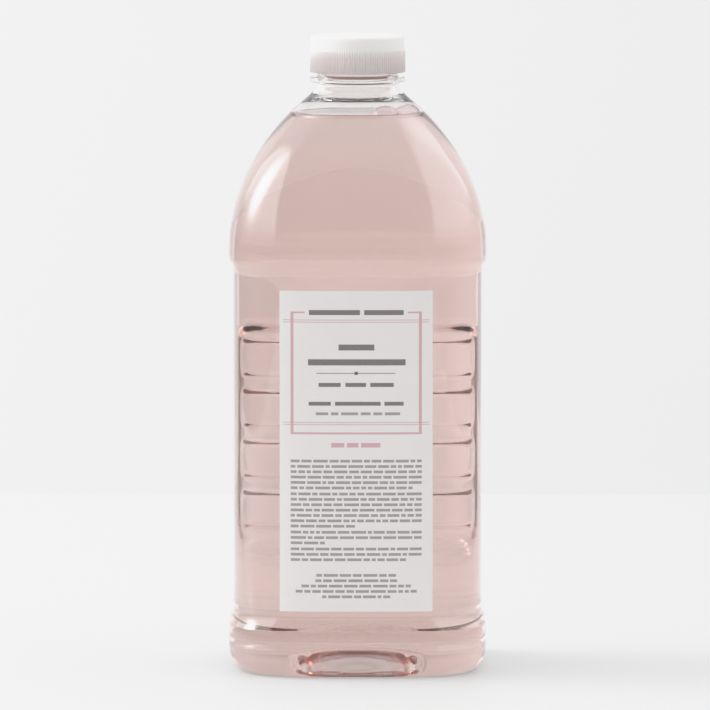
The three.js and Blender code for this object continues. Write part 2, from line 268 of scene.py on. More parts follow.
def body_outline():
    """The outside of the base, panel and shoulder, from the push-up's middle to the foot of the neck."""
    def on_slope(rise):
        return (SHOULDER_END_RADIUS - SHOULDER_END_SLOPE * rise, SHOULDER_END + rise)

    push_up_edge = (PUSH_UP_RADIUS, PUSH_UP_EDGE_HEIGHT)
    foot_edge = (FOOT_INNER - FOOT_RISE, FOOT_RISE)
    corner_width = HALF_WIDTH - FOOT_OUTER
    shoulder_start = (HALF_WIDTH, SHOULDER_START)
    grip_low = GRIP_BOTTOM - GRIP_RUN_OUT * GRIP_MARGIN
    grip_high = GRIP_BOTTOM + (PAD_COUNT - 1) * PAD_PITCH + PAD_HEIGHT + GRIP_MARGIN
    return trace(
        arc((0, PUSH_UP_EDGE_HEIGHT), (PUSH_UP_RADIUS, PUSH_UP_HEIGHT - PUSH_UP_EDGE_HEIGHT), 90, 0, 18),
        line(push_up_edge, foot_edge, 3),
        sweep(foot_edge, (FOOT_INNER - 0.4 * MM, 0.5 * MM), (FOOT_INNER, 0), (FOOT_INNER + MM, 0), 3),
        line((FOOT_INNER + MM, 0), (FOOT_OUTER, 0), 1),
        arc((FOOT_OUTER, CORNER_HEIGHT), (corner_width, CORNER_HEIGHT), -90, 0, 10),
        line((HALF_WIDTH, CORNER_HEIGHT), (HALF_WIDTH, BASE_BULGE_TOP), 1),
        waist((HALF_WIDTH, BASE_BULGE_TOP), (PANEL_HALF_WIDTH, PANEL_BOTTOM),
              WAIST_TIGHT, WAIST_SOFT, 12),
        line((PANEL_HALF_WIDTH, PANEL_BOTTOM), (PANEL_HALF_WIDTH, grip_low), 3),
        line((PANEL_HALF_WIDTH, grip_low), (PANEL_HALF_WIDTH, grip_high), 118),
        line((PANEL_HALF_WIDTH, grip_high), (PANEL_HALF_WIDTH, PANEL_TOP), 5),
        waist((PANEL_HALF_WIDTH, PANEL_TOP), (HALF_WIDTH, SHOULDER_BULGE_BOTTOM),
              WAIST_SOFT, WAIST_FIRM, 10),
        line((HALF_WIDTH, SHOULDER_BULGE_BOTTOM), shoulder_start, 1),
        sweep(shoulder_start, (HALF_WIDTH, SHOULDER_START + SHOULDER_FULLNESS), on_slope(-SHOULDER_RUN_IN),
              on_slope(0), 26),
        sweep(on_slope(0), on_slope(FLARE_RUN_IN), (NECK_RADIUS + FLARE_LEAN, NECK_FOOT - FLARE_RUN_OUT),
              (NECK_RADIUS, NECK_FOOT), 14),
    )


def inset(outline, thickness):
    """An outline moved inwards, square to itself, by a thickness that depends on height."""
    along = np.gradient(outline, axis=0)
    along /= np.linalg.norm(along, axis=1)[:, None]
    amount = thickness(outline[:, 1])[:, None]
    moved = outline + np.stack([-along[:, 1], along[:, 0]], axis=1) * amount
    on_axis = outline[:, 0] < 1e-9
    moved[on_axis, 0] = 0
    return moved


def wall_at(z):
    return WALL + (NECK_WALL - WALL) * smoothstep(z, THICK_FROM, THICK_AT)


def neck_outline():
    """The support ring, the threaded neck and the rim, ending at the top of the bore."""
    bore = NECK_RADIUS - NECK_WALL
    rim_top = RIM - RIM_ROUND
    ring_edge = RING_RADIUS - RING_ROUND
    return trace(
        line((NECK_RADIUS, NECK_FOOT), (NECK_RADIUS, RING_BOTTOM), 1),
        line((NECK_RADIUS, RING_BOTTOM), (ring_edge, RING_BOTTOM), 2),
        arc((ring_edge, RING_BOTTOM + RING_ROUND), (RING_ROUND, RING_ROUND), -90, 0, 4),
        line((RING_RADIUS, RING_BOTTOM + RING_ROUND), (RING_RADIUS, RING_TOP - RING_ROUND), 1),
        arc((ring_edge, RING_TOP - RING_ROUND), (RING_ROUND, RING_ROUND), 0, 90, 4),
        line((ring_edge, RING_TOP), (NECK_RADIUS, RING_TOP), 2),
        line((NECK_RADIUS, RING_TOP), (NECK_RADIUS, THREAD_BAND_BOTTOM), 1),
        line((NECK_RADIUS, THREAD_BAND_BOTTOM), (NECK_RADIUS, THREAD_BAND_TOP), 34),
        line((NECK_RADIUS, THREAD_BAND_TOP), (NECK_RADIUS, rim_top), 1),
        arc((NECK_RADIUS - RIM_ROUND, rim_top), (RIM_ROUND, RIM_ROUND), 0, 90, 4),
        line((NECK_RADIUS - RIM_ROUND, RIM), (bore + RIM_ROUND, RIM), 1),
        arc((bore + RIM_ROUND, rim_top), (RIM_ROUND, RIM_ROUND), 90, 180, 4),
    )


# ---- the plan of the body ----
def plan_reach(angle, half_width, z):
    """How far the plan reaches out: a rounded oblong that becomes a circle at the neck and the push-up."""
    oblong = (1 - smoothstep(z, PLAN_TURN, ROUND_FROM)) * np.clip(half_width / FOOT_INNER, 0, 1)
    power = 2 + (BODY_POWER - 2) * oblong
    depth = 1 - (1 - DEPTH_RATIO) * oblong
    across = np.abs(np.cos(angle)) ** power
    along = (np.abs(np.sin(angle)) / depth) ** power
    return half_width * (across + along) ** (-1 / power)


def rounded_patch(across, up, half_width, half_height, rounding, edge):
    """One inside a rounded oblong and nothing outside it, with a soft slope along its edge."""
    past_side = np.maximum(np.abs(across) - half_width + rounding, 0)
    past_end = np.maximum(np.abs(up) - half_height + rounding, 0)
    return smoothstep(rounding - np.hypot(past_side, past_end), 0, edge)


def grip_depth(angle, z):
    """How far the two back corners are pressed in, with a row of raised finger pads in each."""
    behind_side = np.arctan2(np.sin(angle), np.abs(np.cos(angle)))
    across = (behind_side - GRIP_ANGLE) * GRIP_REACH
    half_height = ((PAD_COUNT - 1) * PAD_PITCH + PAD_HEIGHT) / 2
    above = z - GRIP_BOTTOM
    up = np.where(above < 0, above / GRIP_RUN_OUT, above) - half_height
    hollow = rounded_patch(across / GRIP_STRETCH, up, GRIP_HALF_WIDTH / GRIP_STRETCH,
                           half_height + GRIP_MARGIN, GRIP_ROUNDING, GRIP_EDGE)
    across = (behind_side - PAD_ANGLE) * GRIP_REACH
    pads = np.zeros_like(z)
    for index in range(PAD_COUNT):
        up = z - (GRIP_BOTTOM + index * PAD_PITCH + PAD_HEIGHT / 2)
        pad = rounded_patch(across, up, PAD_HALF_WIDTH, PAD_HEIGHT / 2, PAD_ROUNDING, PAD_EDGE)
        pads = np.maximum(pads, pad)
    return GRIP_DEPTH * hollow - PAD_RISE * pads


def thread_height(angle, z, start_z, start_turn, turns, root_width, height):
    """How far a one-start right-hand thread ridge stands out at an angle and height."""
    turn = np.mod(angle / (2 * math.pi) - start_turn, 1)
    rise = np.zeros_like(z)
    for lap in range(math.ceil(turns)):
        travelled = turn + lap
        ends = np.clip(np.minimum(travelled, turns - travelled) / THREAD_RUN_OUT, 0, 1)
        distance = np.abs(z - (start_z + travelled * THREAD_LEAD))
        flank = np.clip((root_width - 2 * distance) / (root_width - THREAD_CREST_WIDTH), 0, 1)
        rise = np.maximum(rise, height * flank * ends)
    return rise


# ---- meshes ----
def make_object(name, vertices, faces, smooth=True):
    mesh = bpy.data.meshes.new(name)
    mesh.from_pydata([tuple(v) for v in vertices], [], faces)
    mesh.update()
    if smooth:
        mesh.shade_smooth()
    piece = bpy.data.objects.new(name, mesh)
    bpy.context.scene.collection.objects.link(piece)
    return piece


def turned(name, outline, segments, reach):
    """A closed body turned from an outline that starts and ends on the axis; reach shapes its plan."""
    inner = outline[1:-1]
    angles = np.linspace(0, 2 * math.pi, segments, endpoint=False)
    angle = np.broadcast_to(angles[None, :], (len(inner), segments))
    radius = np.broadcast_to(inner[:, 0][:, None], angle.shape)
    z = np.broadcast_to(inner[:, 1][:, None], angle.shape)
    index = np.broadcast_to(np.arange(len(inner))[:, None], angle.shape)
    far = reach(angle, radius, z, index)
    ring = np.stack([far * np.cos(angle), far * np.sin(angle), z], axis=-1).reshape(-1, 3)
    poles = np.array([[0, 0, outline[0][1]], [0, 0, outline[-1][1]]])
    vertices = np.concatenate([ring, poles])
    faces = []
    for level in range(len(inner) - 1):
        here = level * segments
        above = here + segments
        for s in range(segments):
            after = (s + 1) % segments
            faces.append((here + s, here + after, above + after, above + s))
    first, last = len(ring), len(ring) + 1
    top = (len(inner) - 1) * segments
    for s in range(segments):
        after = (s + 1) % segments
        faces.append((first, after, s))
        faces.append((last, top + s, top + after))
    return make_object(name, vertices, faces)


def bottle_piece():
    body = body_outline()
    outside = trace(body, neck_outline())
    inside = inset(body, wall_at)[::-1]
    outline = np.concatenate([outside, inside])
    threaded = len(outside)

    def reach(angle, radius, z, index):
        thread = thread_height(angle, z, NECK_THREAD_START, NECK_THREAD_START_TURN, NECK_THREAD_TURNS,
                               NECK_THREAD_ROOT_WIDTH, NECK_THREAD_HEIGHT)
        on_neck = (index + 1 < threaded) & (z > RING_TOP) & (radius > NECK_RADIUS - RIM_ROUND / 2)
        return plan_reach(angle, radius, z) - grip_depth(angle, z) + thread * on_neck

    return turned("bottle_blown", outline, BODY_SEGMENTS, reach)


def soap_piece():
    """The liquid touches the wall: its skin lies within the wall, and climbs it in a meniscus."""
    wetted = inset(body_outline(), lambda z: wall_at(z) * WETTED_SHARE)
    keep = wetted[wetted[:, 1] < FILL + MENISCUS_CLIMB]
    edge = keep[-1]
    leave = (edge[0] - 0.5 * MM, edge[1] - MENISCUS_CLIMB * 0.8)
    surface = sweep(edge, leave, (edge[0] - 1.2 * MM, FILL), (edge[0] - MENISCUS_WIDTH, FILL), 12)
    flat = line(surface[-1], (0, FILL), 12)
    outline = trace(keep, surface, flat)

    def reach(angle, radius, z, index):
        return plan_reach(angle, radius, z) - grip_depth(angle, z)

    return turned("liquid_soap", outline, SOAP_SEGMENTS, reach)


def bubbles_piece():
    """Foam bubbles on the surface, as thin domes whose rims dip into the liquid."""
    corners = []
    faces = []
    for x, y, size in BUBBLES:
        radius = size * MM
        height = radius * BUBBLE_FLATNESS
        film = min(BUBBLE_FILM, radius / 3)
        outline = trace(
            arc((0, BUBBLE_DIP), (radius, height), BUBBLE_FOOT_ANGLE, 90, 24)[::-1],
            arc((0, BUBBLE_DIP), (radius - film, height - film), BUBBLE_FOOT_ANGLE, 90, 24),
        )
        steps = BUBBLE_SEGMENTS
        base = len(corners)
        ring = [p for p in outline if p[0] > film / 2]
        for reach, z in ring:
            for s in range(steps):
                angle = 2 * math.pi * s / steps
                across, along = reach * math.cos(angle), reach * math.sin(angle)
                corners.append((x * MM + across, y * MM + along, FILL + z))
        for level in range(len(ring) - 1):
            for s in range(steps):
                here, after = base + level * steps + s, base + level * steps + (s + 1) % steps
                faces.append((here, here + steps, after + steps, after))
        corners.append((x * MM, y * MM, FILL + outline[0][1]))
        corners.append((x * MM, y * MM, FILL + outline[-1][1]))
        last = base + (len(ring) - 1) * steps
        for s in range(steps):
            after = (s + 1) % steps
            faces.append((base + s, base + after, len(corners) - 2))
            faces.append((last + after, last + s, len(corners) - 1))
    return make_object("foam_bubbles", corners, faces)


def waterline_piece():
    """A bead of liquid along the front of the wall at the surface, tapering out at both sides."""
    shoulder = inset(body_outline(), wall_at)
    shoulder = shoulder[shoulder[:, 1] > SHOULDER_START]
    inside = np.interp(FILL, shoulder[:, 1], shoulder[:, 0])
    angles = np.radians(np.linspace(WATERLINE_START, WATERLINE_END, WATERLINE_STEPS + 1))
    path = plan_reach(angles, inside, FILL) - WATERLINE_RADIUS * WATERLINE_OVERLAP
    along = np.linspace(0.02, 0.98, len(angles))
    thickness = WATERLINE_RADIUS * np.clip(np.sin(along * math.pi) * WATERLINE_TAPER, 0, 1)
    sides = WATERLINE_SIDES
    corners = []
    for angle, far, radius in zip(angles, path, thickness):
        for side in range(sides):
            turn = 2 * math.pi * side / sides
            reach = far + radius * math.cos(turn)
            rise = radius * math.sin(turn)
            corners.append((reach * math.cos(angle), reach * math.sin(angle), FILL + rise))
    faces = [tuple(range(sides)), tuple(range(len(corners) - sides, len(corners)))[::-1]]
    for step in range(WATERLINE_STEPS):
        for side in range(sides):
            here, after = step * sides + side, step * sides + (side + 1) % sides
            faces.append((here, here + sides, after + sides, after))
    return make_object("waterline", corners, faces)


def cap_piece():
    bottom, top = cap_low.z, cap_high.z
    outer = cap_high.x - RIB_DEPTH - CAP_CLEARANCE
    roof = top - CAP_ROOF
    flat_edge = outer - CAP_TOP_ROUND
    fillet_in, fillet_low = CAP_BORE - CAP_ROOF_FILLET, roof - CAP_ROOF_FILLET
    mouth, bevel_top = CAP_BORE + CAP_MOUTH_BEVEL, bottom + CAP_MOUTH_BEVEL_HEIGHT
    foot, foot_top = outer - CAP_FOOT_BEVEL, bottom + CAP_FOOT_BEVEL
    rib_end_low, rib_end_high = RIB_TOP - 0.1 * MM, RIB_TOP + 0.15 * MM
    outline = trace(
        line((0, roof), (fillet_in, roof), 3),
        arc((fillet_in, fillet_low), (CAP_ROOF_FILLET, CAP_ROOF_FILLET), 90, 0, 3),
        line((CAP_BORE, fillet_low), (CAP_BORE, bevel_top), 40),
        line((CAP_BORE, bevel_top), (mouth, bottom), 1),
        line((mouth, bottom), (foot, bottom), 1),
        line((foot, bottom), (outer, foot_top), 1),
        line((outer, foot_top), (outer, rib_end_low), 2),
        line((outer, rib_end_low), (outer, rib_end_high), 1),
        line((outer, rib_end_high), (outer, top - CAP_TOP_ROUND), 2),
        arc((flat_edge, top - CAP_TOP_ROUND), (CAP_TOP_ROUND, CAP_TOP_ROUND), 0, 90, 8),
        line((flat_edge, top), (0, top), 4),
    )

    def reach(angle, radius, z, index):
        ribbed = (radius > outer - RIB_BAND) & (z < RIB_TOP)
        wave = np.abs(np.sin(angle * RIB_COUNT / 2))
        rib = RIB_DEPTH * (1 - wave**RIB_SHARPNESS)
        bore = np.abs(radius - CAP_BORE) < 1e-6
        thread = thread_height(angle, z, CAP_THREAD_START, CAP_THREAD_START_TURN, CAP_THREAD_TURNS,
                               CAP_THREAD_ROOT_WIDTH, CAP_THREAD_HEIGHT)
        return radius + rib * ribbed - thread * bore

    return turned("screw_cap", outline, RIB_COUNT * RIB_SEGMENTS, reach)


def liner_piece():
    low, high = liner_low.z, liner_high.z
    radius = liner_high.x
    flat_edge = radius - LINER_EDGE
    edge_low, edge_high = low + LINER_EDGE, high - LINER_EDGE
    outline = trace(
        line((0, low), (flat_edge, low), 6),
        arc((flat_edge, edge_low), (LINER_EDGE, LINER_EDGE), -90, 0, 3),
        line((radius, edge_low), (radius, edge_high), 1),
        arc((flat_edge, edge_high), (LINER_EDGE, LINER_EDGE), 0, 90, 3),
        line((flat_edge, high), (0, high), 6),
    )
    return turned("sealing_disc", outline, LINER_SEGMENTS, lambda angle, radius, z, index: radius)


def panel_front(x):
    """The outside of the front panel, as -Y, at a place across it."""
    share = np.abs(x) / PANEL_HALF_WIDTH
    return -PANEL_HALF_WIDTH * DEPTH_RATIO * (1 - share**BODY_POWER) ** (1 / BODY_POWER)


def sheet(xs, low, high, back, front):
    """A thin closed sheet that follows the crown of the front panel, between two distances out from it."""
    corners = [(x, panel_front(x) - out, z) for out in (back, front) for z in (low, high) for x in xs]
    n = len(xs)
    faces = [(0, 2 * n, 3 * n, n), (n - 1, 2 * n - 1, 4 * n - 1, 3 * n - 1)]
    for i in range(n - 1):
        faces.append((i, n + i, n + i + 1, i + 1))
        faces.append((2 * n + i, 2 * n + i + 1, 3 * n + i + 1, 3 * n + i))
        faces.append((i, i + 1, 2 * n + i + 1, 2 * n + i))
        faces.append((n + i, 3 * n + i, 3 * n + i + 1, n + i + 1))
    return corners, faces


def label_piece():
    """The label is stuck on: its back lies in the wall's skin."""
    xs = np.linspace(label_low.x, label_high.x, LABEL_STEPS) + LABEL_SHIFT
    corners, faces = sheet(xs, label_low.z, label_high.z, -LABEL_BEDDED, LABEL_THICKNESS)
    return make_object("paper_label", corners, faces, smooth=False)


# ---- the print on the label: frame lines and rows of plain marks in place of words ----
def print_piece(name, marks):
    """One thin layer of ink; a mark is (left, right, low, high) in millimetres."""
    corners = []
    faces = []
    for left, right, low, high in marks:
        xs = np.linspace(left, right, 2 + int(right - left)) * MM + LABEL_SHIFT
        strip, strip_faces = sheet(xs, low * MM, high * MM, LABEL_THICKNESS - INK, LABEL_THICKNESS + INK)
        faces += [tuple(len(corners) + corner for corner in face) for face in strip_faces]
        corners += strip
    return make_object(name, corners, faces, smooth=False)


def words(left, right, low, high, shortest, longest, space):
    """A row of plain bars of uneven length, as a page of small print looks from afar."""
    marks = []
    start = left
    while start < right - shortest:
        end = min(start + dice.uniform(shortest, longest), right)
        if right - end < shortest + space:
            end = right
        marks.append((start, end, low, high))
        start = end + space
    return marks


def frame_marks():
    """A frame of thick lines with an open top, crossed by two pairs of hairlines."""
    inside = FRAME_HALF_WIDTH - FRAME_LINE
    marks = []
    for side in (-1, 1):
        outer, inner = FRAME_HALF_WIDTH * side, inside * side
        marks.append((min(outer, inner), max(outer, inner), FRAME_LOW, FRAME_HIGH))
        stub = (FRAME_HALF_WIDTH - FRAME_STUB) * side
        marks.append((min(inner, stub), max(inner, stub), FRAME_HIGH - FRAME_TOP_LINE, FRAME_HIGH))
    marks.append((-inside, inside, FRAME_LOW, FRAME_LOW + FRAME_BOTTOM_LINE))
    for z in (FRAME_HIGH - HAIRLINE_BELOW_TOP, FRAME_LOW + HAIRLINE_ABOVE_BOTTOM):
        for offset in (-HAIRLINE_GAP / 2, HAIRLINE_GAP / 2):
            low = z + offset - HAIRLINE / 2
            marks.append((-HAIRLINE_HALF_WIDTH, HAIRLINE_HALF_WIDTH, low, low + HAIRLINE))
    return marks


def print_row(left, right, top):
    return words(left, right, top - PRINT_MARK_LOW, top - PRINT_MARK_HIGH, *SMALL_WORD)


def small_print_marks():
    """Four paragraphs as wide as the frame, each with a shorter last row, and centred rows below them."""
    marks = []
    top = PRINT_TOP
    for rows, last in PRINT_PARAGRAPHS:
        for row in range(rows):
            share = last if row == rows - 1 else 1.0
            marks += print_row(-PRINT_HALF_WIDTH, PRINT_HALF_WIDTH * (2 * share - 1), top)
            top -= PRINT_PITCH
        top -= PRINT_PARAGRAPH_GAP
    top = CLOSING_TOP
    for half_width in CLOSING_HALF_WIDTHS:
        marks += print_row(-half_width, half_width, top)
        top -= PRINT_PITCH
    return marks


def headline_marks():
    """A heading over the frame, two rows, a ruled line with a dot, and two rows under it."""
    marks = []
    for low, high, spans in HEADLINE_ROWS:
        marks += [(left, right, low, high) for left, right in spans]
    return marks


# ---- materials ----
SOAP_IOR = 1.37
# painted shade on the clear PET: full below the first height, faded out above the second
SHADE_FULL_BELOW = 60 * MM
SHADE_GONE_ABOVE = 130 * MM
# how far the cloudy edge of the cap's painted pink light wanders up and down
PINK_EDGE_WOBBLE = 3 * MM


def add_node(tree, kind, inputs=None, **settings):
    """A shader node with its settings and inputs; an input is a value or another node's output."""
    node = tree.nodes.new("ShaderNode" + kind)
    for name, value in settings.items():
        setattr(node, name, value)
    for key, value in (inputs or {}).items():
        if isinstance(value, bpy.types.NodeSocket):
            tree.links.new(value, node.inputs[key])
        else:
            node.inputs[key].default_value = value
    return node


def calc(tree, operation, *values):
    return add_node(tree, "Math", dict(enumerate(values)), operation=operation).outputs[0]


def ramp(tree, value, low, high, at_low, at_high):
    inputs = {"Value": value, "From Min": low, "From Max": high, "To Min": at_low, "To Max": at_high}
    return add_node(tree, "MapRange", inputs, interpolation_type="SMOOTHSTEP").outputs["Result"]


def principled(name, base, roughness, **sockets):
    material = bpy.data.materials.new(name)
    material.use_nodes = True
    shader = material.node_tree.nodes["Principled BSDF"]
    shader.inputs["Base Color"].default_value = (*base, 1)
    shader.inputs["Roughness"].default_value = roughness
    for socket, value in sockets.items():
        shader.inputs[socket.replace("_", " ")].default_value = value
    return material


def noise(material, scale, detail=3.0):
    """Cloudy noise fixed to the piece, with so many lumps to the metre."""
    tree = material.node_tree
    place = add_node(tree, "TexCoord").outputs["Object"]
    return add_node(tree, "TexNoise", {"Vector": place, "Scale": scale, "Detail": detail}).outputs["Fac"]


def height_of(material):
    tree = material.node_tree
    return add_node(tree, "SeparateXYZ", {0: add_node(tree, "TexCoord").outputs["Object"]}).outputs["Z"]


def mix(tree, factor, first, second):
    return add_node(tree, "MixRGB", {"Fac": factor, "Color1": first, "Color2": second}).outputs[0]


def tint(material, factor, darker, paler):
    tree = material.node_tree
    mixed = mix(tree, factor, (*darker, 1), (*paler, 1))
    tree.links.new(mixed, tree.nodes["Principled BSDF"].inputs["Base Color"])


def dull(material, factor, glossier, duller):
    tree = material.node_tree
    roughness = ramp(tree, factor, 0.35, 0.65, glossier, duller)
    tree.links.new(roughness, tree.nodes["Principled BSDF"].inputs["Roughness"])


def emboss(material, *layers):
    """Bump from layers of (height, depth in metres), each on top of the one before."""
    tree = material.node_tree
    normal = None
    for height, depth in layers:
        inputs = {"Height": height, "Distance": depth}
        if normal:
            inputs["Normal"] = normal
        normal = add_node(tree, "Bump", inputs).outputs["Normal"]
    tree.links.new(normal, tree.nodes["Principled BSDF"].inputs["Normal"])


def absorb(material, colour, density):
    """What a clear body takes out of the light on its way through, so much to the metre."""
    tree = material.node_tree
    volume = add_node(tree, "VolumeAbsorption", {"Color": (*colour, 1), "Density": density})
    tree.links.new(volume.outputs["Volume"], tree.nodes["Material Output"].inputs["Volume"])


def pet_material():
    """Blown PET: clear, with painted shade (greyer towards the base, pinkish grey over the headspace and
    neck), and the slight waves of a stretched wall.
    """
    material = principled("clear_pet", (1, 1, 1), 0.0, Transmission_Weight=1.0, IOR=1.57)
    cloud = noise(material, 18)
    tree = material.node_tree
    z = height_of(material)
    # painted shade: the PET's tone goes from grey at the base to clear higher up
    base_shade_fade = ramp(tree, z, SHADE_FULL_BELOW, SHADE_GONE_ABOVE, 0, 1)
    # painted shade with a pink cast over the headspace and neck, above the soap
    neck_shade_share = ramp(tree, z, FILL + MM, THICK_AT, 0, 1)
    body = mix(tree, base_shade_fade, (0.957, 0.957, 0.957, 1), (0.995, 0.995, 0.995, 1))
    painted_shade_tone = mix(tree, neck_shade_share, body, (0.97, 0.955, 0.95, 1))
    tree.links.new(painted_shade_tone, tree.nodes["Principled BSDF"].inputs["Base Color"])
    dull(material, noise(material, 60), 0.0, 0.02)
    emboss(material, (cloud, 0.12 * MM), (noise(material, 260, 1.0), 0.002 * MM))
    return material


def soap_material():
    """Clear pink liquid: the colour comes from what it absorbs on the way through."""
    material = principled("pink_liquid", (1, 1, 1), 0.0, Transmission_Weight=1.0, IOR=SOAP_IOR)
    absorb(material, (0.703, 0.285, 0.187), 8.0)
    swirl = noise(material, 45)
    tint(material, swirl, (1, 0.985, 0.98), (1, 1, 1))
    emboss(material, (swirl, 0.02 * MM))
    return material


def film_material():
    """Thin films of the soap, darker where they are seen edge on."""
    material = principled("soap_film", (1, 1, 1), 0.0, Transmission_Weight=1.0, IOR=SOAP_IOR)
    absorb(material, (0.78, 0.35, 0.4), 400.0)
    tint(material, noise(material, 300), (1, 0.98, 0.975), (1, 1, 1))
    return material


def paper_material():
    """Satin label stock, with a fine fibre and a faint cloud in its tone."""
    material = principled("label_paper", (0.88, 0.845, 0.84), 0.5)
    tint(material, noise(material, 90), (0.865, 0.83, 0.825), (0.895, 0.86, 0.855))
    dull(material, noise(material, 400), 0.42, 0.58)
    emboss(material, (noise(material, 1500), 0.01 * MM))
    return material


def ink_material(name, darker, paler):
    material = principled(name, darker, 0.45)
    tint(material, noise(material, 700), darker, paler)
    dull(material, noise(material, 900), 0.38, 0.55)
    emboss(material, (noise(material, 2500), 0.005 * MM))
    return material


def cap_material():
    """Milky moulded polypropylene: light goes in and comes out soft. Its lower part is painted pink,
    standing in for pink light from the soap below, and fades along a cloudy edge to near white at the top.
    """
    material = principled("milky_pp", (0.97, 0.955, 0.95), 0.38, IOR=1.49)
    tree = material.node_tree
    z = height_of(material)
    top = cap_high.z
    clearness = ramp(tree, z, top - 11 * MM, top - 3 * MM, 0.3, 0.06)
    tree.links.new(clearness, tree.nodes["Principled BSDF"].inputs["Transmission Weight"])
    # painted light: the lower cap is tinted pink for the soap's light coming up the neck, fading to near
    # white at the top
    pink_edge_wobble = calc(tree, "MULTIPLY", calc(tree, "MULTIPLY", noise(material, 120), 0.4), PINK_EDGE_WOBBLE)
    pink_light_fade = ramp(tree, calc(tree, "ADD", z, pink_edge_wobble), top - 9 * MM, top - 4 * MM, 0, 1)
    tint(material, pink_light_fade, (0.99, 0.905, 0.905), (1, 0.985, 0.975))
    dull(material, noise(material, 300), 0.33, 0.43)
    emboss(material, (noise(material, 1400), 0.008 * MM))
    return material


def foam_material():
    """White closed-cell foam, with its cells just showing."""
    material = principled("white_foam", (0.85, 0.84, 0.82), 0.9)
    tree = material.node_tree
    place = add_node(tree, "TexCoord").outputs["Object"]
    cells = add_node(tree, "TexVoronoi", {"Vector": place, "Scale": 2200.0}).outputs["Distance"]
    tint(material, cells, (0.88, 0.87, 0.85), (0.8, 0.79, 0.77))
    dull(material, noise(material, 500), 0.8, 0.95)
    emboss(material, (cells, 0.06 * MM))
    return material


def dress(piece, body, material, node=None):
    """Give a piece its material, the body it rides and the CAD node that it replaces."""
    piece.data.materials.append(material)
    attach(piece, body)
    if node:
        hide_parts(node)


dark_ink = ink_material("dark_ink", (0.2, 0.18, 0.18), (0.26, 0.235, 0.235))
grey_ink = ink_material("grey_ink", (0.36, 0.33, 0.33), (0.43, 0.4, 0.395))
pink_ink = ink_material("pink_ink", (0.67, 0.42, 0.45), (0.72, 0.47, 0.5))
soap_film = film_material()

dress(bottle_piece(), "bottle", pet_material(), "bottle")
dress(soap_piece(), "bottle", soap_material(), "soap")
dress(bubbles_piece(), "bottle", soap_film)
dress(waterline_piece(), "bottle", soap_film)
dress(label_piece(), "bottle", paper_material(), "front_label")
dress(print_piece("print_headline", headline_marks()), "bottle", dark_ink)
dress(print_piece("print_rows", small_print_marks()), "bottle", grey_ink)
light_row = words(*LIGHT_ROW, *LARGE_WORD)
dress(print_piece("print_light_row", light_row), "bottle", grey_ink)
pink_marks = frame_marks() + words(*PINK_ROW, *MEDIUM_WORD)
dress(print_piece("print_frame", pink_marks), "bottle", pink_ink)
dress(cap_piece(), "cap", cap_material(), "cap")
dress(liner_piece(), "liner", foam_material(), "cap_liner")


# ---- studio: metres, shades of grey and strengths of light ----
TABLE_NEAR = -2.0
TABLE_DEPTH = 0.63
WALL_DEPTH = 1.1
WALL_FOOT = -0.3
TABLE_TONE = 0.49
TABLE_GLOW = 0.33
WALL_TONE = 0.5
WALL_GLOW = 0.568
EDGE_GLOW = 0.32
EDGE_START = 0.6
SIDEWAYS_FALL = 0.13
SIDES_FROM = 0.15
SIDES_TO = 0.4
TABLE_SIDES = -0.2
WALL_SIDES = 0.05
SIDEWAYS_REACH = 0.9
STUDIO_HALF_WIDTH = 1.0
WALL_HEIGHT = 0.95
SURROUND = 0.51
OVERHEAD = 0.44
LEFT_SCREEN = 1.3
RIGHT_SCREEN = 1.0
LEFT_SCREEN_EDGE = (0.57, 0.61)
RIGHT_SCREEN_EDGE = (0.44, 0.54)
OVERHEAD_EDGE = (0.6, 0.8)
SCREEN_FOOT = (0.0, 0.35)
HOT_SPOT = 10.0
HOT_SPOT_AZIMUTH = math.radians(98)
HOT_SPOT_ELEVATION = math.radians(33)
HOT_SPOT_SPREAD = math.radians(13)

FILM_CURVE_TOP = 8
FILM_CURVE = ((0.7, 0.7), (0.8, 0.795), (0.9, 0.865), (1.05, 0.905), (1.5, 0.95), (3, 0.985))

CAMERA_DISTANCE = 3.6
CAMERA_ELEVATION = math.radians(5.7)
CAMERA_AIM = (-1.1 * MM, 0, 134 * MM)
CAMERA_SENSOR = 36
VIEW_WIDTH = 306.01 * MM
BOUNCES = 40
GLOSSY_BOUNCES = 16


def glowing(name, tone, near_glow, far_glow, side_glow):
    """A pale surface with a little glow, less to the right and far away, and clear from behind."""
    material = principled(name, (tone, tone, tone), 0.5)
    tree = material.node_tree
    shader = tree.nodes["Principled BSDF"]
    split = add_node(tree, "SeparateXYZ", {0: add_node(tree, "TexCoord").outputs["Object"]})
    x, y, z = split.outputs
    sideways = ramp(tree, x, -SIDEWAYS_REACH, SIDEWAYS_REACH, SIDEWAYS_FALL, -SIDEWAYS_FALL)
    far = ramp(tree, y, EDGE_START, TABLE_DEPTH, near_glow, far_glow)
    shader.inputs["Emission Color"].default_value = (1, 1, 1, 1)
    aside = ramp(tree, calc(tree, "ABSOLUTE", x), SIDES_FROM, SIDES_TO, 0, side_glow)
    glow = calc(tree, "ADD", calc(tree, "ADD", sideways, far), aside)
    tree.links.new(glow, shader.inputs["Emission Strength"])
    behind = add_node(tree, "NewGeometry").outputs["Backfacing"]
    clear = add_node(tree, "BsdfTransparent").outputs["BSDF"]
    one_sided = add_node(tree, "MixShader", {0: behind, 1: shader.outputs["BSDF"], 2: clear})
    tree.links.new(one_sided.outputs[0], tree.nodes["Material Output"].inputs["Surface"])
    return material


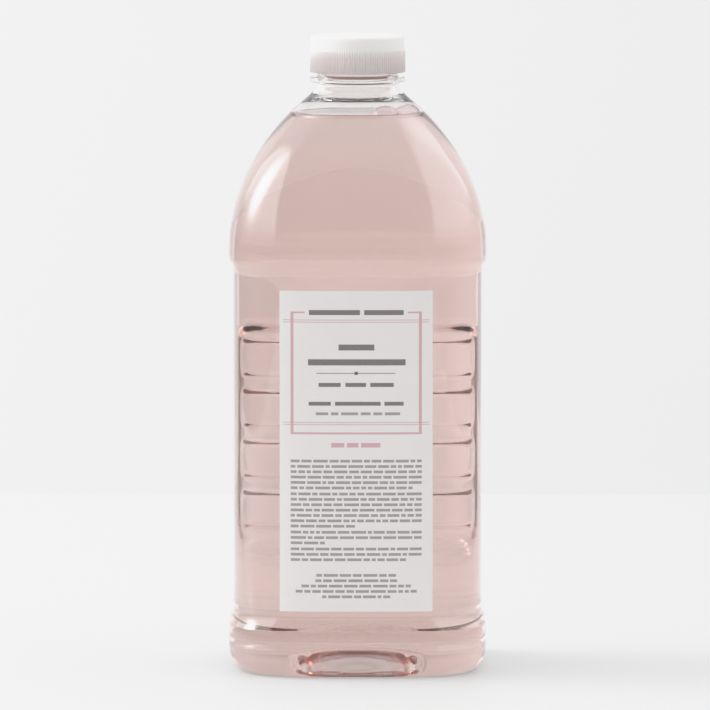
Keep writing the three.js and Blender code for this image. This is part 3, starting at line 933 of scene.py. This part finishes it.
def backdrop():
    """A pale table, and an upright wall a little way behind its far edge."""
    across = (-STUDIO_HALF_WIDTH, STUDIO_HALF_WIDTH)
    flat = [(x, y, 0) for y in (TABLE_NEAR, TABLE_DEPTH) for x in across]
    upright = [(x, WALL_DEPTH, z) for z in (WALL_FOOT, WALL_HEIGHT) for x in across]
    table = make_object("table", flat, [(0, 1, 3, 2)], smooth=False)
    wall = make_object("wall", upright, [(0, 1, 3, 2)], smooth=False)
    table.data.materials.append(glowing("pale_table", TABLE_TONE, TABLE_GLOW, EDGE_GLOW, TABLE_SIDES))
    wall.data.materials.append(glowing("pale_wall", WALL_TONE, WALL_GLOW, WALL_GLOW, WALL_SIDES))


def white_tent():
    """White screens left, right and overhead, a lamp in the left one, and a dimmer room in front."""
    world = bpy.data.worlds.new("white_tent")
    world.use_nodes = True
    tree = world.node_tree
    place = add_node(tree, "TexCoord")
    split = add_node(tree, "SeparateXYZ", {0: place.outputs["Generated"]})
    x, y, z = split.outputs
    left = ramp(tree, calc(tree, "MULTIPLY", x, -1), *LEFT_SCREEN_EDGE, 0, LEFT_SCREEN)
    right = ramp(tree, x, *RIGHT_SCREEN_EDGE, 0, RIGHT_SCREEN)
    azimuth = calc(tree, "ARCTAN2", calc(tree, "MULTIPLY", x, -1), calc(tree, "MULTIPLY", y, -1))
    height = calc(tree, "ARCSINE", z)
    aside = calc(tree, "DIVIDE", calc(tree, "SUBTRACT", azimuth, HOT_SPOT_AZIMUTH), HOT_SPOT_SPREAD)
    above = calc(tree, "DIVIDE", calc(tree, "SUBTRACT", height, HOT_SPOT_ELEVATION), HOT_SPOT_SPREAD)
    away = calc(tree, "ADD", calc(tree, "MULTIPLY", aside, aside), calc(tree, "MULTIPLY", above, above))
    lamp = calc(tree, "MULTIPLY", calc(tree, "EXPONENT", calc(tree, "MULTIPLY", away, -1)), HOT_SPOT)
    screens = calc(tree, "MULTIPLY", calc(tree, "ADD", left, right), ramp(tree, z, *SCREEN_FOOT, 0, 1))
    towards = calc(tree, "ADD", calc(tree, "MULTIPLY", z, 0.6), calc(tree, "MULTIPLY", y, 0.8))
    overhead = ramp(tree, towards, *OVERHEAD_EDGE, SURROUND, SURROUND + OVERHEAD)
    glow = calc(tree, "ADD", calc(tree, "ADD", screens, lamp), overhead)
    tree.links.new(glow, tree.nodes["Background"].inputs["Strength"])
    tree.nodes["Background"].inputs["Color"].default_value = (1, 1, 1, 1)
    bpy.context.scene.world = world


def film_response():
    """Even tones stay as they are, and the brightest roll off gently, as on film."""
    view = bpy.context.scene.view_settings
    view.view_transform = "Standard"
    view.use_curve_mapping = True
    mapping = view.curve_mapping
    mapping.clip_max_x = FILM_CURVE_TOP
    mapping.use_clip = True
    curve = mapping.curves[3]
    curve.points[0].location = (0, 0)
    curve.points[1].location = (FILM_CURVE_TOP, 1)
    for bright, shown in FILM_CURVE:
        curve.points.new(bright, shown)
    for spot in curve.points:
        spot.handle_type = "AUTO_CLAMPED"
    mapping.update()


def camera():
    data = bpy.data.cameras.new("camera")
    data.sensor_width = CAMERA_SENSOR
    data.lens = CAMERA_SENSOR * CAMERA_DISTANCE / VIEW_WIDTH
    data.clip_end = 20
    view = bpy.data.objects.new("camera", data)
    bpy.context.scene.collection.objects.link(view)
    back, up = math.cos(CAMERA_ELEVATION), math.sin(CAMERA_ELEVATION)
    view.location = (CAMERA_AIM[0], -CAMERA_DISTANCE * back, CAMERA_AIM[2] + CAMERA_DISTANCE * up)
    view.rotation_euler = (math.pi / 2 - CAMERA_ELEVATION, 0, 0)
    bpy.context.scene.camera = view


backdrop()
white_tent()
film_response()
camera()
bpy.context.scene.cycles.max_bounces = BOUNCES
bpy.context.scene.cycles.glossy_bounces = GLOSSY_BOUNCES
bpy.context.scene.cycles.transmission_bounces = BOUNCES
